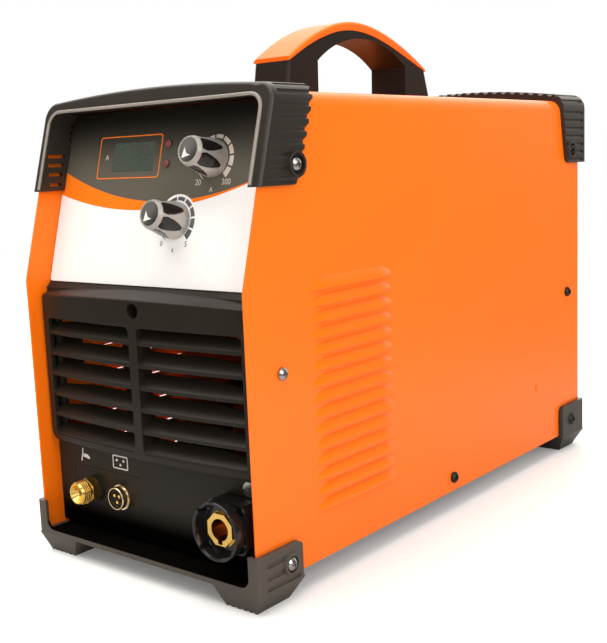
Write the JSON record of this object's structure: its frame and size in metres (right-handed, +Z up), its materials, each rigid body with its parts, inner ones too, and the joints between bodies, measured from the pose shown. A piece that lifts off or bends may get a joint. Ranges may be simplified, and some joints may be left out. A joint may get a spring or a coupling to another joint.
{
  "type": "tig welding machine",
  "caption": "Portable inverter welding machine in a bent-sheet cover with a louvred front grille, leaning control panel with two knobs, corner guards and a carrying handle.",
  "frame": {"origin": "on the ground under the middle of the machine, level with the undersides of the feet", "axes": "+X to the machine's left as seen from behind it, which is the right-hand side for someone facing its front; +Y from the front panel towards the rear panel; +Z up"},
  "size_m": [0.2036, 0.4384, 0.3501],
  "materials": {
    "orange_paint": "gloss powder coat",
    "orange_soft": "soft-touch satin",
    "galvanised_sheet": "zinc plated",
    "black_plastic": "fine-grained moulded",
    "overlay_film": "printed film",
    "screw_steel": "bright plated",
    "black_screw": "black oxide",
    "clear_lens": "clear lens",
    "display_grey": "satin",
    "led_red": "clear red",
    "board_green": "solder mask",
    "brass": "turned",
    "plated_collar": "nickel over brass",
    "chromed_wire": "bright",
    "lever_red": "satin",
    "coil_plastic": "moulded",
    "hose_rubber": "matte",
    "aluminium": "extruded",
    "ferrite": "sintered",
    "copper": "enamelled",
    "coil_wire": "silicone insulation",
    "knob_silver": "silver paint",
    "knob_cap": "spun",
    "knob_rubber": "smooth",
    "shaft_steel": "turned"
  },
  "bodies": {
    "machine": {"base_tray": "galvanised_sheet", "bulk_capacitors": "aluminium", "cable_gland": "black_plastic", "case_screws_front": "screw_steel", "case_screws_rear": "black_screw", "chassis_bridge": "galvanised_sheet", "control_board": "board_green", "control_overlay": "overlay_film", "control_socket_insert": "black_plastic", "control_socket_pins": "brass", "control_socket_shell": "plated_collar", "coupling_coil": "coil_wire", "cover_shell": "orange_paint", "display_module": "display_grey", "display_window": "clear_lens", "earth_screw": "screw_steel", "fan_frame": "black_plastic", "fan_guard": "chromed_wire", "fan_screws": "screw_steel", "front_bumper": "black_plastic", "front_grille": "black_plastic", "front_panel": "black_plastic", "front_visor": "black_plastic", "gas_hose": "hose_rubber", "gas_inlet": "brass", "gas_valve_body": "brass", "gas_valve_coil": "coil_plastic", "handle_body": "black_plastic", "handle_grip": "orange_soft", "handle_screws": "screw_steel", "heatsinks": "aluminium", "indicator_leds": "led_red", "inverter_board": "board_green", "output_busbar": "copper", "output_choke": "copper", "output_socket_body": "black_plastic", "output_socket_insert": "brass", "panel_nuts": "brass", "potentiometers": "shaft_steel", "power_modules": "coil_plastic", "power_switch_body": "black_plastic", "rear_bumper": "black_plastic", "rear_panel": "galvanised_sheet", "rear_visor": "black_plastic", "socket_flange_screws": "black_screw", "socket_plate": "black_plastic", "torch_outlet": "brass", "transformer_core": "ferrite", "transformer_winding": "copper"},
    "current_knob_body": {"current_knob": "knob_silver", "current_knob_cap": "knob_cap", "current_knob_inserts": "knob_rubber", "current_pot_shaft": "shaft_steel"},
    "delay_knob_body": {"delay_knob": "knob_silver", "delay_knob_cap": "knob_cap", "delay_knob_inserts": "knob_rubber", "delay_pot_shaft": "shaft_steel"},
    "fan_wheel": {"fan_rotor": "black_plastic"},
    "switch_toggle": {"power_switch_lever": "lever_red"},
    "valve_plunger": {"gas_valve_plunger": "screw_steel"}
  },
  "joints": [
    {"name": "current_knob_turn", "type": "hinge", "parent": "machine", "child": "current_knob_body", "pos_m": [0.0435, -0.17202, 0.2557], "axis": [0, 0.9659, -0.2589], "range_deg": [0, 300]},
    {"name": "delay_knob_turn", "type": "hinge", "parent": "machine", "child": "delay_knob_body", "pos_m": [0.0184, -0.18156, 0.2201], "axis": [0, 0.9659, -0.2589], "range_deg": [0, 300]},
    {"name": "fan_spin", "type": "hinge", "parent": "machine", "child": "fan_wheel", "pos_m": [0, 0.192, 0.118], "axis": [0, 1, 0], "continuous": true},
    {"name": "switch_throw", "type": "hinge", "parent": "machine", "child": "switch_toggle", "pos_m": [-0.042, 0.1995, 0.226], "axis": [1, 0, 0], "range_deg": [0, 44]},
    {"name": "valve_lift", "type": "slide", "parent": "machine", "child": "valve_plunger", "axis": [0, 0, 1], "range_m": [0, 0.002]}
  ]
}
